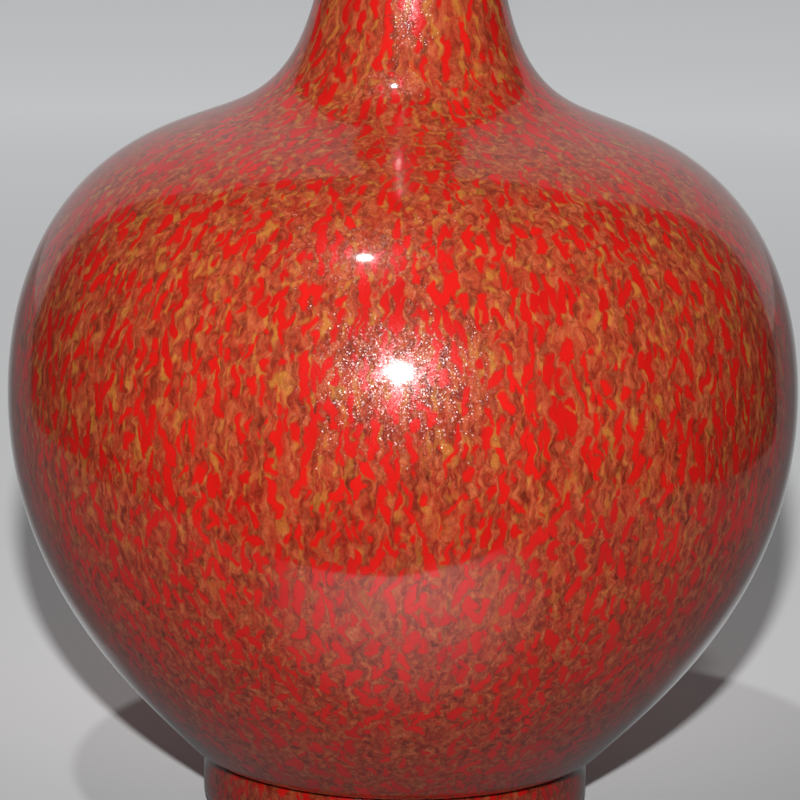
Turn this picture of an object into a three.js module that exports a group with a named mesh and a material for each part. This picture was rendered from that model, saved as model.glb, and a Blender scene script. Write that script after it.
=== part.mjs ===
// Gallbladder vase in glazed stoneware: a low foot ring, a full round belly, sloping shoulders,
// a long neck that narrows upwards and a small everted mouth.
// Millimetres, +Z up. The origin is the centre of the foot, on the surface the vase stands on.
//
// The vase is thrown in sections that are luted together with slip and then glazed, so each
// thrown section, each slip joint and each coat of glaze is a solid of its own.
import * as THREE from 'three';

// Heights above the surface the vase stands on
const FOOT_HEIGHT = 17.7;
const EDGE_HEIGHT = 20;
const BELLY_HEIGHT = 110;
const SHOULDER_HEIGHT = 174.7;
const NECK_JOINT_HEIGHT = 196;
const WAIST_HEIGHT = 268;
const LIP_JOINT_HEIGHT = 326;
const TOTAL_HEIGHT = 340;

// Radii of the glazed outline at those heights
const CREASE_RADIUS = 48.4;
const EDGE_RADIUS = 54.2;
const BELLY_RADIUS = 100;
const SHOULDER_RADIUS = 64.4;
const WAIST_RADIUS = 19.5;
const LIP_RADIUS = 22.6;

// How the outline runs between them: the slope is measured from upright, in degrees, and a
// reach is how far the curve keeps its direction as it leaves a point
const CREASE_SLOPE = 84;
const EDGE_SLOPE = 44;
const SHOULDER_SLOPE = 64.6;
const LIP_SLOPE = 9;
const CREASE_REACH = 2.5;
const EDGE_REACH_DOWN = 2.2;
const EDGE_REACH_UP = 20.4;
const BELLY_REACH_DOWN = 47.5;
const BELLY_REACH_UP = 21.4;
const SHOULDER_REACH_DOWN = 32.3;
const SHOULDER_REACH_UP = 30.6;
const WAIST_REACH_DOWN = 89.6;
const WAIST_REACH_UP = 30;
const LIP_REACH = 25;

// The foot ring swells below the crease and draws in again to the rim it stands on
const FOOT_RADIUS = 49.5;
const FOOT_WIDEST_HEIGHT = 9;
const FOOT_RIM_RADIUS = 46.6;
const RECESS_RADIUS = 42;
const LEDGE_RADIUS = 40;
const REBATE_RADIUS = 43.6;
const RECESS_HEIGHT = 9;
const BARE_FOOT_HEIGHT = 3.6;

// Thicknesses
const GLAZE = 0.6;
const GLAZE_GAP = 0.1;
const BELLY_WALL = 5;
const NECK_WALL = 3.6;
const LIP_HALF_WIDTH = 2.2;
const LIP_CREST = 3;
const SLIP = 0.8;
const FITTING_GAP = 0.3;
const FLOOR_CORNER_RADIUS = 39;

// How finely the round forms are cut
const SIDES = 36;
const OUTLINE_SAMPLES = 200;
const RINGS = { foot: 4, edge: 2, lowerBelly: 8, upperBelly: 7, neck: 9, lip: 1, crest: 2 };

const coat = GLAZE + GLAZE_GAP;
const crestBase = TOTAL_HEIGHT - LIP_CREST;
const lipMiddle = LIP_RADIUS - LIP_HALF_WIDTH;

// A point of a section: radius across, height up
const point = (radius, height) => new THREE.Vector2(radius, height);

// The point reached from another by going a distance along a slope from upright
function reach(from, slope, distance) {
  const angle = THREE.MathUtils.degToRad(slope);
  return point(from.x + distance * Math.sin(angle), from.y + distance * Math.cos(angle));
}

// The glazed outline from the crease above the foot to the root of the lip. The belly overhangs
// the foot a little: its underside runs out from the crease and rounds up into its wall at an edge.
function outlineCurves() {
  const crease = point(CREASE_RADIUS, FOOT_HEIGHT);
  const edge = point(EDGE_RADIUS, EDGE_HEIGHT);
  const belly = point(BELLY_RADIUS, BELLY_HEIGHT);
  const shoulder = point(SHOULDER_RADIUS, SHOULDER_HEIGHT);
  const waist = point(WAIST_RADIUS, WAIST_HEIGHT);
  const lip = point(LIP_RADIUS, crestBase);
  return [
    new THREE.CubicBezierCurve(
      crease, reach(crease, CREASE_SLOPE, CREASE_REACH), reach(edge, EDGE_SLOPE, -EDGE_REACH_DOWN), edge),
    new THREE.CubicBezierCurve(
      edge, reach(edge, EDGE_SLOPE, EDGE_REACH_UP), reach(belly, 0, -BELLY_REACH_DOWN), belly),
    new THREE.CubicBezierCurve(
      belly, reach(belly, 0, BELLY_REACH_UP), reach(shoulder, -SHOULDER_SLOPE, -SHOULDER_REACH_DOWN),
      shoulder),
    new THREE.CubicBezierCurve(
      shoulder, reach(shoulder, -SHOULDER_SLOPE, SHOULDER_REACH_UP), reach(waist, 0, -WAIST_REACH_DOWN),
      waist),
    new THREE.CubicBezierCurve(
      waist, reach(waist, 0, WAIST_REACH_UP), reach(lip, LIP_SLOPE, -LIP_REACH), lip),
  ];
}

const curves = outlineCurves();

// The clay wall thins from the belly to the neck
function wallAt(height) {
  const up = THREE.MathUtils.smoothstep(height, BELLY_HEIGHT, WAIST_HEIGHT);
  const wall = THREE.MathUtils.lerp(BELLY_WALL, NECK_WALL, up);
  const lipWall = 2 * (LIP_HALF_WIDTH - coat);
  const toLip = THREE.MathUtils.smoothstep(height, WAIST_HEIGHT, crestBase);
  return THREE.MathUtils.lerp(wall, lipWall, toLip);
}

// Points of the surface that lies a depth inside the outline, from the crease to the lip
function surfacePoints(depthAt) {
  const points = [];
  for (const curve of curves) {
    for (let step = 0; step <= OUTLINE_SAMPLES; step += 1) {
      const part = step / OUTLINE_SAMPLES;
      const on = curve.getPoint(part);
      const along = curve.getTangent(part);
      const depth = depthAt(on.y);
      points.push(point(on.x - depth * along.y, on.y + depth * along.x));
    }
  }
  return points;
}

// The radius at a height of a surface given by points that climb; below its first point the
// surface carries on in the same direction
function radiusOn(points, height) {
  let upper = points.findIndex((each) => each.y >= height);
  upper = THREE.MathUtils.clamp(upper === -1 ? points.length - 1 : upper, 1, points.length - 1);
  const low = points[upper - 1];
  const high = points[upper];
  return THREE.MathUtils.mapLinear(height, low.y, high.y, low.x, high.x);
}

const glazeFace = surfacePoints(() => 0);
const glazeBack = surfacePoints(() => GLAZE);
const clayFace = surfacePoints(() => coat);
const clayBack = surfacePoints((height) => coat + wallAt(height));
const liningBack = surfacePoints((height) => coat + wallAt(height) + GLAZE_GAP);
const liningFace = surfacePoints((height) => coat + wallAt(height) + GLAZE_GAP + GLAZE);

// The foot's outside at a height: an upright half ellipse above its widest place, another below
function footRadius(height) {
  const above = height > FOOT_WIDEST_HEIGHT;
  const inner = above ? CREASE_RADIUS : FOOT_RIM_RADIUS;
  const span = above ? FOOT_HEIGHT - FOOT_WIDEST_HEIGHT : FOOT_WIDEST_HEIGHT;
  const part = (height - FOOT_WIDEST_HEIGHT) / span;
  return inner + (FOOT_RADIUS - inner) * Math.sqrt(Math.max(0, 1 - part * part));
}

// Heights that part a stretch into equal rings
function evenHeights(from, to, rings) {
  return Array.from({ length: rings + 1 }, (_, ring) => THREE.MathUtils.lerp(from, to, ring / rings));
}

// Heights between two joints at equal steps along the outline, which crowds them where it turns
function outlineHeights(from, to, rings) {
  const stretch = glazeFace.filter((each) => each.y > from && each.y < to);
  const path = [point(radiusOn(glazeFace, from), from), ...stretch, point(radiusOn(glazeFace, to), to)];
  const lengths = [0];
  for (let index = 1; index < path.length; index += 1) {
    lengths.push(lengths[index - 1] + path[index].distanceTo(path[index - 1]));
  }
  const whole = lengths[lengths.length - 1];
  return Array.from({ length: rings + 1 }, (_, ring) => {
    const target = (whole * ring) / rings;
    const index = Math.max(1, lengths.findIndex((each) => each >= target - Number.EPSILON * whole));
    return THREE.MathUtils.mapLinear(
      target, lengths[index - 1], lengths[index], path[index - 1].y, path[index].y);
  });
}

const footHeights = evenHeights(BARE_FOOT_HEIGHT, FOOT_HEIGHT - SLIP / 2, RINGS.foot);
const edgeHeights = evenHeights(FOOT_HEIGHT + SLIP / 2, EDGE_HEIGHT, RINGS.edge);
const aboveEdge = outlineHeights(EDGE_HEIGHT, BELLY_HEIGHT - SLIP / 2, RINGS.lowerBelly).slice(1);
const lowerHeights = [...edgeHeights, ...aboveEdge];
const upperHeights = outlineHeights(BELLY_HEIGHT + SLIP / 2, NECK_JOINT_HEIGHT - SLIP / 2, RINGS.upperBelly);
const neckHeights = outlineHeights(NECK_JOINT_HEIGHT + SLIP / 2, LIP_JOINT_HEIGHT - SLIP / 2, RINGS.neck);
const lipHeights = evenHeights(LIP_JOINT_HEIGHT + SLIP / 2, crestBase, RINGS.lip);
const bodyHeights = [...lowerHeights, ...upperHeights, ...neckHeights, ...lipHeights];

// Section points up a surface, at the given heights
const climb = (surface, heights) => heights.map((height) => point(radiusOn(surface, height), height));

// Quarter of the rounded lip, from the outside (0 degrees) or the crest (90) on by 90 degrees
function lipQuarter(inset, startDegrees) {
  const halfWidth = LIP_HALF_WIDTH - inset;
  const crest = LIP_CREST - inset;
  return Array.from({ length: RINGS.crest }, (_, ring) => {
    const angle = THREE.MathUtils.degToRad(startDegrees + (90 * (ring + 1)) / RINGS.crest);
    return point(lipMiddle + halfWidth * Math.cos(angle), crestBase + crest * Math.sin(angle));
  });
}

// A solid of revolution about the vertical axis. The section runs with the clay on its left,
// so up its outside and down its inside.
function turned(section) {
  const solid = new THREE.LatheGeometry(section, SIDES);
  solid.rotateX(Math.PI / 2);
  return solid;
}

// A section closed on itself
const ring = (section) => turned([...section, section[0].clone()]);

function named(name, solid, material) {
  const mesh = new THREE.Mesh(solid, material);
  mesh.name = name;
  return mesh;
}

const clay = new THREE.MeshStandardMaterial({ color: 0xd9cbb4, roughness: 0.85, metalness: 0 });
const slip = new THREE.MeshStandardMaterial({ color: 0xcbb99c, roughness: 0.9, metalness: 0 });
const redGlaze = new THREE.MeshStandardMaterial({ color: 0xb5361f, roughness: 0.12, metalness: 0 });
const innerGlaze = new THREE.MeshStandardMaterial({ color: 0x8e2b1b, roughness: 0.15, metalness: 0 });
const baseGlaze = new THREE.MeshStandardMaterial({ color: 0x9c3a24, roughness: 0.15, metalness: 0 });

// The foot ring: bare at the rim, glazed above it, with a rebate inside its top for the base disc
function footRing() {
  const top = FOOT_HEIGHT - SLIP / 2;
  const bareHeights = evenHeights(0, BARE_FOOT_HEIGHT, 2);
  const bare = bareHeights.map((height) => point(footRadius(height) - coat, height));
  const glazed = footHeights.slice(1).map((height) => point(footRadius(height) - coat, height));
  return ring([
    ...bare,
    ...glazed,
    point(REBATE_RADIUS, top),
    point(REBATE_RADIUS, RECESS_HEIGHT),
    point(LEDGE_RADIUS, RECESS_HEIGHT),
    point(RECESS_RADIUS, 0),
  ]);
}

// The flat floor of the vase, let into the foot ring's rebate
function baseDisc() {
  const top = FOOT_HEIGHT - SLIP / 2;
  const radius = REBATE_RADIUS - FITTING_GAP;
  return turned([
    point(0, RECESS_HEIGHT), point(radius, RECESS_HEIGHT), point(radius, top), point(0, top),
  ]);
}

// The lower half of the belly: its wall thickens below the edge and ends in a flat seat on the
// foot ring and base disc
function lowerBelly() {
  return ring([
    ...climb(clayFace, lowerHeights),
    ...climb(clayBack, aboveEdge).reverse(),
    point(FLOOR_CORNER_RADIUS, lowerHeights[0]),
  ]);
}

// A wall between two flat joints
function wall(heights) {
  return ring([...climb(clayFace, heights), ...climb(clayBack, heights).reverse()]);
}

// The rounded mouth
function mouthRim() {
  return ring([
    ...climb(clayFace, lipHeights),
    ...lipQuarter(coat, 0),
    ...lipQuarter(coat, 90),
    ...climb(clayBack, lipHeights).reverse().slice(1),
  ]);
}

// The slip that holds two sections together, as wide as the wall
function slipJoint(height) {
  return wall([height - SLIP / 2, height + SLIP / 2]);
}

// The slip under the lower belly, on the foot ring and the rim of the base disc
function footSlipJoint() {
  const low = FOOT_HEIGHT - SLIP / 2;
  const high = FOOT_HEIGHT + SLIP / 2;
  return ring([
    point(footRadius(low) - coat, low),
    point(radiusOn(clayFace, high), high),
    point(FLOOR_CORNER_RADIUS, high),
    point(FLOOR_CORNER_RADIUS, low),
  ]);
}

// The red glaze outside, from the glaze line above the foot's rim to the crest of the lip
function outerGlaze() {
  const footFace = footHeights.map((height) => point(footRadius(height), height));
  const footBack = footHeights.map((height) => point(footRadius(height) - GLAZE, height));
  return ring([
    ...footFace,
    ...climb(glazeFace, bodyHeights),
    ...lipQuarter(0, 0),
    ...lipQuarter(GLAZE, 0).reverse(),
    ...climb(glazeBack, bodyHeights).reverse(),
    ...footBack.reverse(),
  ]);
}

// The glaze inside, from the crest of the lip down the wall and over the floor
function innerGlazeCoat() {
  const floor = FOOT_HEIGHT - SLIP / 2 + GLAZE_GAP;
  const heights = bodyHeights.slice(edgeHeights.length);
  const corner = FLOOR_CORNER_RADIUS - GLAZE_GAP;
  const crestBack = lipQuarter(GLAZE, 90);
  const crestFace = lipQuarter(0, 90);
  return turned([
    point(0, floor),
    point(corner, floor),
    point(corner, bodyHeights[0]),
    ...climb(liningBack, heights),
    ...crestBack.slice(0, -1).reverse(),
    point(lipMiddle - GLAZE_GAP, TOTAL_HEIGHT - GLAZE),
    point(lipMiddle - GLAZE_GAP, TOTAL_HEIGHT),
    ...crestFace.slice(0, -1),
    ...climb(liningFace, heights).reverse(),
    point(corner - GLAZE, bodyHeights[0] + GLAZE),
    point(0, floor + GLAZE),
  ]);
}

// The glaze under the base, inside the foot ring
function baseGlazeDisc() {
  const top = RECESS_HEIGHT - GLAZE_GAP;
  const radius = LEDGE_RADIUS - FITTING_GAP;
  return turned([point(0, top - GLAZE), point(radius, top - GLAZE), point(radius, top), point(0, top)]);
}

const vase = new THREE.Group();
vase.add(
  named('foot_ring', footRing(), clay),
  named('base_disc', baseDisc(), clay),
  named('foot_slip_joint', footSlipJoint(), slip),
  named('lower_belly', lowerBelly(), clay),
  named('belly_slip_joint', slipJoint(BELLY_HEIGHT), slip),
  named('upper_belly', wall(upperHeights), clay),
  named('neck_slip_joint', slipJoint(NECK_JOINT_HEIGHT), slip),
  named('neck', wall(neckHeights), clay),
  named('lip_slip_joint', slipJoint(LIP_JOINT_HEIGHT), slip),
  named('mouth_rim', mouthRim(), clay),
  named('outer_glaze', outerGlaze(), redGlaze),
  named('inner_glaze', innerGlazeCoat(), innerGlaze),
  named('base_glaze', baseGlazeDisc(), baseGlaze),
);

export default vase;
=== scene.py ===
"""A gallbladder vase, dressed around its CAD frame: thrown clay sections, slip joints and glaze.

Laid out as a Blender add-on and run as a script. Lengths are in metres.
"""
import math

import bpy
from bpy.props import FloatProperty, FloatVectorProperty, IntProperty, PointerProperty
from mathutils import Matrix, Vector


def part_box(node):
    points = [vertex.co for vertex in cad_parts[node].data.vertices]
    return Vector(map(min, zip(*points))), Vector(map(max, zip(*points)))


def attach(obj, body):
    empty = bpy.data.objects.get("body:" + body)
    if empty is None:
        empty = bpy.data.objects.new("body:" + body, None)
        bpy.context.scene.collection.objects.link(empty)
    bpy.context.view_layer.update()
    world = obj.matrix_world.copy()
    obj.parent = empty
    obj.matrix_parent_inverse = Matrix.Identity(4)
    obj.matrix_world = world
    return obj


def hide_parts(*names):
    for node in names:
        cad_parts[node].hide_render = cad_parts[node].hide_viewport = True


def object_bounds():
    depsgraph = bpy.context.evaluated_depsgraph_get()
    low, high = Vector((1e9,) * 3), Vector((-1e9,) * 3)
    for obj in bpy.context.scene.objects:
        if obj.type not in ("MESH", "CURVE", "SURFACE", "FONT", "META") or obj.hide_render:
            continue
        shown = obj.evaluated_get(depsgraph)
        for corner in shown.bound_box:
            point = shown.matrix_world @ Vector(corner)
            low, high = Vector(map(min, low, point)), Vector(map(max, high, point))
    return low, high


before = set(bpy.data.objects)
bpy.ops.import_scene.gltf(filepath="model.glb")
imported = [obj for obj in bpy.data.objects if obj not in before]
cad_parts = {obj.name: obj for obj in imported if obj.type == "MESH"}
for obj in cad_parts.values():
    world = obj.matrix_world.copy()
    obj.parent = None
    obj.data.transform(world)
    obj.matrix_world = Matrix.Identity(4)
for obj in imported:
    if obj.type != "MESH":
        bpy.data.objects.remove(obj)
CAD_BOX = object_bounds()

bl_info = {
    "name": "Gallbladder vase",
    "version": (1, 0, 0),
    "blender": (4, 5, 0),
    "location": "3D View > Sidebar > Vase",
    "description": "Builds a thrown, luted and glazed gallbladder vase around its CAD frame",
    "category": "Object",
}

MM = 0.001


def box_top(node):
    """The height of a CAD node's highest point."""
    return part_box(node)[1].z


def box_bottom(node):
    """The height of a CAD node's lowest point."""
    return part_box(node)[0].z


def joint_height(node):
    """The height of the middle of a slip joint."""
    return (box_bottom(node) + box_top(node)) / 2


def linear(red, green, blue):
    """A colour given as a screen shows it, from 0 to 255, in Blender's linear values."""
    def channel(value):
        share = value / 255
        return share / 12.92 if share <= 0.04045 else ((share + 0.055) / 1.055) ** 2.4
    return channel(red), channel(green), channel(blue)


def length(name, description, default):
    """A length that a user may change."""
    return FloatProperty(name=name, description=description, default=default, min=0, precision=4,
                         subtype="DISTANCE", unit="LENGTH")


def angle(name, description, degrees):
    """An angle that a user may change."""
    return FloatProperty(name=name, description=description, default=math.radians(degrees),
                         subtype="ANGLE", unit="ROTATION")


def colour(name, description, *screen):
    """A colour that a user may change, given as a screen shows it."""
    return FloatVectorProperty(name=name, description=description, default=linear(*screen),
                               min=0, max=1, size=3, subtype="COLOR")


def factor(name, description, default, highest=1):
    """A plain number that a user may change."""
    return FloatProperty(name=name, description=description, default=default, min=0, max=highest)


class VaseShape(bpy.types.PropertyGroup):
    """The heights, radii and slopes that the outline is worked out from"""
    total_height: length("Total height", "From the floor to the crest of the lip", CAD_BOX[1].z)
    belly_height: length("Belly height", "Height of the widest place", joint_height("belly_slip_joint"))
    shoulder_height: length("Shoulder height", "Where belly turns to neck", 174.7 * MM)
    waist_height: length("Waist height", "The neck's narrowest place", 268 * MM)
    foot_height: length("Foot height", "The crease above the foot", joint_height("foot_slip_joint"))
    foot_widest: length("Foot's widest place", "Height of the foot's widest place", 9 * MM)
    edge_height: length("Edge height", "Where the belly's underside rounds up into its wall", 20 * MM)
    belly_radius: length("Belly radius", "At the widest place", (CAD_BOX[1].x - CAD_BOX[0].x) / 2)
    crease_radius: length("Crease radius", "At the crease above the foot", 48.4 * MM)
    edge_radius: length("Edge radius", "Where the belly's underside rounds up into its wall", 54.2 * MM)
    shoulder_radius: length("Shoulder radius", "Where belly turns to neck", 64.4 * MM)
    waist_radius: length("Waist radius", "At the neck's narrowest place", 19.5 * MM)
    lip_radius: length("Lip radius", "At the root of the lip", 22.6 * MM)
    foot_radius: length("Foot radius", "At the foot's widest place", 49.5 * MM)
    rim_radius: length("Foot rim radius", "Where the foot meets the floor", 46.6 * MM)
    crease_slope: angle("Crease slope", "From upright, as the underside leaves the crease", 84)
    edge_slope: angle("Edge slope", "From upright, as the wall leaves the edge", 44)
    shoulder_slope: angle("Shoulder slope", "From upright, where belly turns to neck", 64.6)
    lip_slope: angle("Lip slope", "From upright, at the root of the lip", 9)


class VaseWalls(bpy.types.PropertyGroup):
    """Thicknesses of clay and glaze, and how finely the forms are turned"""
    glaze: length("Glaze", "Thickness of each coat of glaze", 0.6 * MM)
    gap: length("Gap", "Between a coat and the clay", 0.1 * MM)
    belly_wall: length("Belly wall", "Clay at the belly", 5 * MM)
    neck_wall: length("Neck wall", "Clay at the neck's waist", 3.6 * MM)
    lip_half_width: length("Lip half width", "Half of the glazed lip", 2.2 * MM)
    lip_crest: length("Lip crest", "How far the lip's round stands up", 3 * MM)
    bare_foot: length("Bare foot", "Height of the unglazed rim", box_bottom("outer_glaze"))
    unevenness: length("Unevenness", "How far the thrown surface wanders in", 0.12 * MM)
    waver: length("Waver", "How far the glaze line wanders up and down", 0.5 * MM)
    sides: IntProperty(name="Sides", description="Steps around a glazed surface", default=200, min=24)
    hidden_sides: IntProperty(name="Hidden sides", description="Steps around the clay under the glaze",
                              default=96, min=24)
    seed: IntProperty(name="Seed", description="Picks the unevenness and the waver", default=7, min=0)


class VaseGlaze(bpy.types.PropertyGroup):
    """Colours and grain of the glazes and the clay"""
    red: colour("Red flecks", "Clear red that breaks through in flecks", 232, 30, 22)
    deep_red: colour("Deep red", "The darker flecks", 205, 22, 18)
    dark: colour("Dark brown", "Darkest streaks of the ground", 92, 28, 16)
    brown: colour("Brown", "Middle of the ground", 158, 50, 30)
    salmon: colour("Salmon", "Light part of the ground", 196, 84, 50)
    tan: colour("Tan", "Lightest part of the ground", 214, 114, 70)
    haze: colour("Red haze", "Soft red that tints the ground", 182, 38, 26)
    ochre: colour("Ochre", "Yellow streaks", 210, 136, 56)
    edge: colour("Thin edge", "Where the glaze draws thin at the lip", 120, 74, 44)
    inside: colour("Inside glaze", "Glaze inside the vase", 116, 34, 20)
    base: colour("Base glaze", "Glaze under the base", 132, 44, 26)
    clay: colour("Clay", "Bare fired clay", 196, 170, 134)
    burnt_clay: colour("Burnt clay", "Clay flushed by the fire beside the glaze", 168, 112, 70)
    flow: factor("Flow", "Width of the mottle over its length", 0.33)
    cell_flow: factor("Fleck flow", "Width of a fleck's cell over its length", 0.37)
    fleck_spacing: length("Fleck spacing", "From one fleck to the next", 4.3 * MM)
    fleck_length: length("Fleck length", "Longest fleck", 12 * MM)
    fleck_width: length("Fleck width", "Widest fleck", 3.0 * MM)
    lean: angle("Fleck lean", "Most that a fleck leans from upright", 42)
    grain: length("Grain", "Size of the finest grain", 0.34 * MM)
    facet_spacing: length("Facet spacing", "From one glinting facet to the next", 0.31 * MM)


class VaseStage(bpy.types.PropertyGroup):
    """Camera, lamps and floor"""
    camera_distance: length("Camera distance", "From the camera to the vase's axis", 1.0)
    camera_tilt: angle("Camera tilt", "How far the camera looks down", 12)
    camera_roll: angle("Camera roll", "How far the vase leans in the picture", 1.21)
    target_height: length("Target height", "What the camera looks at", 107.9 * MM)
    picture_angle: angle("Picture angle", "Angle of view over the picture's width", 11.61)
    key: factor("Key lamp", "Power of the lamp above the camera, in watts", 10.7, 100)
    floor_key: factor("Floor lamp", "Power of the spot lamp that lights the floor, in watts", 130, 500)
    ceiling: factor("Ceiling lamp", "Power of the small lamp overhead, in watts", 11.7, 100)
    back: factor("Back lamp", "Power of the lamp that lights the back, in watts", 12, 100)
    soft: factor("Soft light", "Brightness of the even light from all round", 0.06)
    # Strength of the floor's painted glow far from the vase
    pale: factor("Pale", "How much paler the floor looks far from the vase", 0.36)
    mirrored: factor("Mirrored backdrop", "How bright the pale backdrop looks in the glaze", 0.4)
    floor: colour("Floor", "Colour of the floor", 228, 229, 230)
    floor_bounce: colour("Floor bounce", "Colour of the light that the floor throws up", 88, 88, 88)


def settings():
    """The user's values."""
    scene = bpy.context.scene
    return scene.vase_shape, scene.vase_walls, scene.vase_glaze, scene.vase_stage


# The outline

OUTLINE_STEPS = 160


def bezier(start, leave, arrive, end):
    """Points and directions along a cubic curve through two ends and two handles."""
    found = []
    for step in range(OUTLINE_STEPS + 1):
        t = step / OUTLINE_STEPS
        u = 1 - t
        point = start * u**3 + leave * 3 * u * u * t + arrive * 3 * u * t * t + end * t**3
        along = (leave - start) * u * u + (arrive - leave) * 2 * u * t + (end - arrive) * t * t
        found.append((point, along.normalized()))
    return found


def reach(point, slope, distance):
    """The point a distance away along a slope from upright."""
    return point + Vector((math.sin(slope), math.cos(slope))) * distance


def outline(shape, walls):
    """Points and directions of the glazed outline, from the crease up to the root of the lip."""
    # Radius, height and slope of each knot, and how far its handles reach down and up the outline
    knots = (
        (shape.crease_radius, shape.foot_height, shape.crease_slope, 0, 2.5 * MM),
        (shape.edge_radius, shape.edge_height, shape.edge_slope, 2.2 * MM, 20.4 * MM),
        (shape.belly_radius, shape.belly_height, 0, 47.5 * MM, 21.4 * MM),
        (shape.shoulder_radius, shape.shoulder_height, -shape.shoulder_slope, 32.3 * MM, 30.6 * MM),
        (shape.waist_radius, shape.waist_height, 0, 89.6 * MM, 30 * MM),
        (shape.lip_radius, shape.total_height - walls.lip_crest, shape.lip_slope, 25 * MM, 0),
    )
    line = []
    for (r0, z0, slope0, _, up), (r1, z1, slope1, down, _) in zip(knots, knots[1:]):
        low, high = Vector((r0, z0)), Vector((r1, z1))
        # The point that two curves share is kept once
        line[-1:] = bezier(low, reach(low, slope0, up), reach(high, slope1, -down), high)
    return line


def smooth_step(value, low, high):
    """0 below low, 1 above high, and a smooth rise between."""
    share = min(1, max(0, (value - low) / (high - low)))
    return share * share * (3 - 2 * share)


class Sections:
    """The surfaces of one vase, as radii at heights."""

    def __init__(self, shape, walls):
        self.shape = shape
        self.walls = walls
        self.coat = walls.glaze + walls.gap
        self.line = outline(shape, walls)
        self.crest_base = shape.total_height - walls.lip_crest
        self.lip_middle = shape.lip_radius - walls.lip_half_width
        self.floor_top = box_top("base_disc")
        self.corner_top = shape.edge_height + 2 * walls.belly_wall
        self.surfaces = {}

    def wall(self, height):
        """Thickness of the clay at a height."""
        shape, walls = self.shape, self.walls
        up = smooth_step(height, shape.belly_height, shape.waist_height)
        wall = walls.belly_wall + (walls.neck_wall - walls.belly_wall) * up
        lip_wall = 2 * (walls.lip_half_width - self.coat)
        return wall + (lip_wall - wall) * smooth_step(height, shape.waist_height, self.crest_base)

    def depth(self, surface, height):
        """How far a surface lies inside the glazed outline."""
        clay_back = self.coat + self.wall(height)
        return {
            "glaze_face": 0,
            "glaze_back": self.walls.glaze,
            "clay_face": self.coat,
            "clay_back": clay_back,
            "lining_back": clay_back + self.walls.gap,
            "lining_face": clay_back + self.coat,
        }[surface]

    def radius(self, surface, height):
        """The radius of a surface at a height above the crease."""
        if surface not in self.surfaces:
            self.surfaces[surface] = [
                (point.y + along.x * self.depth(surface, point.y),
                 point.x - along.y * self.depth(surface, point.y))
                for point, along in self.line
            ]
        points = self.surfaces[surface]
        upper = next((i for i, (z, _) in enumerate(points) if z >= height), len(points) - 1)
        upper = max(1, upper)
        (low_z, low_r), (high_z, high_r) = points[upper - 1], points[upper]
        return low_r + (high_r - low_r) * (height - low_z) / (high_z - low_z)

    def foot_radius(self, height):
        """The foot's glazed radius: half an ellipse above its widest place and another below."""
        shape = self.shape
        widest = shape.foot_widest
        above = height > widest
        inner = shape.crease_radius if above else shape.rim_radius
        span = shape.foot_height - widest if above else widest
        share = (height - widest) / span
        return inner + (shape.foot_radius - inner) * math.sqrt(max(0, 1 - share * share))

    def heights(self, low, high, step):
        """Heights from low to high at about even steps along the outline."""
        path = [(low, self.radius("glaze_face", low))]
        path += [(point.y, point.x) for point, _ in self.line if low < point.y < high]
        path += [(high, self.radius("glaze_face", high))]
        travelled = [0]
        for (z0, r0), (z1, r1) in zip(path, path[1:]):
            travelled.append(travelled[-1] + math.hypot(z1 - z0, r1 - r0))
        count = max(1, round(travelled[-1] / step))
        found, index = [low], 1
        for ring in range(1, count):
            goal = travelled[-1] * ring / count
            while travelled[index] < goal:
                index += 1
            share = (goal - travelled[index - 1]) / (travelled[index] - travelled[index - 1])
            found.append(path[index - 1][0] + share * (path[index][0] - path[index - 1][0]))
        return found + [high]

    def climb(self, surface, heights):
        """Points up a surface."""
        return [(self.radius(surface, z), z) for z in heights]

    def lip(self, inset, start, end, steps):
        """Points round the lip, from a start angle to an end angle above its outer root."""
        half_width = self.walls.lip_half_width - inset
        crest = self.walls.lip_crest - inset
        turns = [math.radians(start + (end - start) * step / steps) for step in range(steps + 1)]
        return [(self.lip_middle + half_width * math.cos(t), self.crest_base + crest * math.sin(t))
                for t in turns]


# Nodes

def opaque(shade):
    """A colour with its alpha, as sockets and the stops of a ramp want it."""
    return (*shade, 1)


def add(tree, kind, inputs=None, **fields):
    """Adds a node, sets its fields and fills its inputs with values or other nodes' outputs."""
    node = tree.nodes.new(kind)
    for name, value in fields.items():
        setattr(node, name, value)
    for name, value in (inputs or {}).items():
        socket = node.inputs[name]
        if isinstance(value, bpy.types.NodeSocket):
            tree.links.new(value, socket)
        else:
            socket.default_value = opaque(value) if socket.type == "RGBA" else value
    return node


def join(kind, inputs, **fields):
    """Adds a node to the tree of the outputs that fill its inputs, and gives its own outputs."""
    tree = next(value.id_data for value in inputs.values() if isinstance(value, bpy.types.NodeSocket))
    return add(tree, kind, inputs, **fields).outputs


def math_of(operation, *values):
    """The number that a Math node gives."""
    return join("ShaderNodeMath", dict(enumerate(values)), operation=operation)[0]


def times(product, *others):
    """The product of numbers."""
    for other in others:
        product = math_of("MULTIPLY", product, other)
    return product


def vector_of(operation, *values):
    """What a Vector Math node gives: a number for a length, distance or dot product, else a vector."""
    outputs = join("ShaderNodeVectorMath", dict(enumerate(values)), operation=operation)
    return outputs["Value" if operation in ("LENGTH", "DISTANCE", "DOT_PRODUCT") else "Vector"]


def scaled(vector, by):
    """A vector or a colour times a number."""
    return join("ShaderNodeVectorMath", {0: vector, "Scale": by}, operation="SCALE")[0]


def turned_by(point, turn_angle):
    """A point turned about the upright axis."""
    return join("ShaderNodeVectorRotate", {"Vector": point, "Angle": turn_angle}, rotation_type="Z_AXIS")[0]


def parts_of(point):
    """A point's parts, by the names X, Y and Z."""
    return join("ShaderNodeSeparateXYZ", {"Vector": point})


def point_of(**parts):
    """A point from those of its parts X, Y and Z that aren't 0."""
    return join("ShaderNodeCombineXYZ", parts)[0]


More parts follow.
